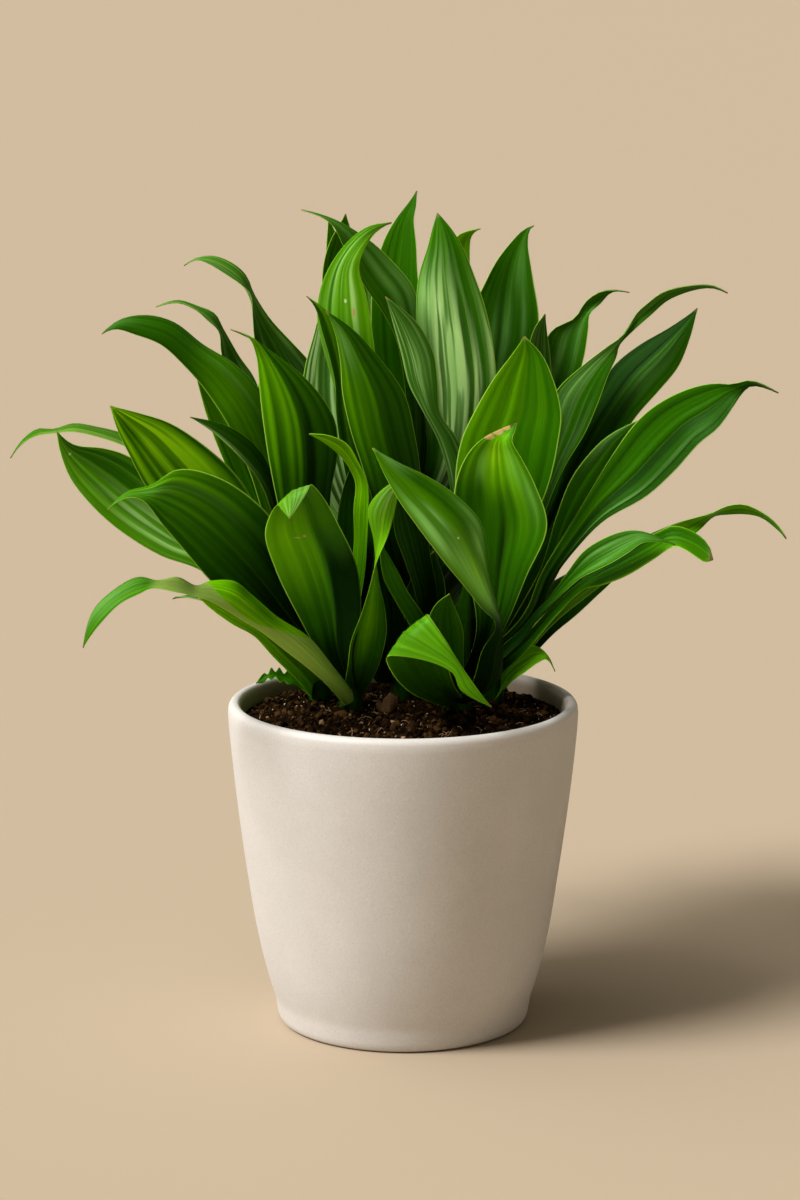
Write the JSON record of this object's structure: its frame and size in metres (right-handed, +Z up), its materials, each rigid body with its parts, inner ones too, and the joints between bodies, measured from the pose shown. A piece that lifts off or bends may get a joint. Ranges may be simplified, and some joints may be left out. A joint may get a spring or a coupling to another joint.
{
  "type": "potted dracaena",
  "caption": "Round tapered plant pot filled with soil, with leafy shoots of broad pointed dracaena leaves that rise, arch and spread over the rim",
  "frame": {"origin": "centre of the pot's flat foot", "axes": "+Z up along the pot's axis, +X to the viewer's right and +Y away from the viewer of the front"},
  "size_m": [0.5442, 0.4272, 0.5931],
  "materials": {
    "pot": "matte, faint grain",
    "soil": "rough, crumbly",
    "leaf_front_left": "semi-gloss living leaf",
    "leaf_front_right": "semi-gloss living leaf",
    "leaf_middle": "semi-gloss living leaf",
    "leaf_far_left": "semi-gloss living leaf",
    "leaf_far_right": "semi-gloss living leaf",
    "leaf_back": "semi-gloss living leaf"
  },
  "bodies": {
    "root": {"pot": "pot", "soil": "soil", "shoot_front_left": "leaf_front_left", "shoot_front_right": "leaf_front_right", "shoot_middle": "leaf_middle", "shoot_far_left": "leaf_far_left", "shoot_far_right": "leaf_far_right", "shoot_back": "leaf_back"}
  },
  "joints": []
}
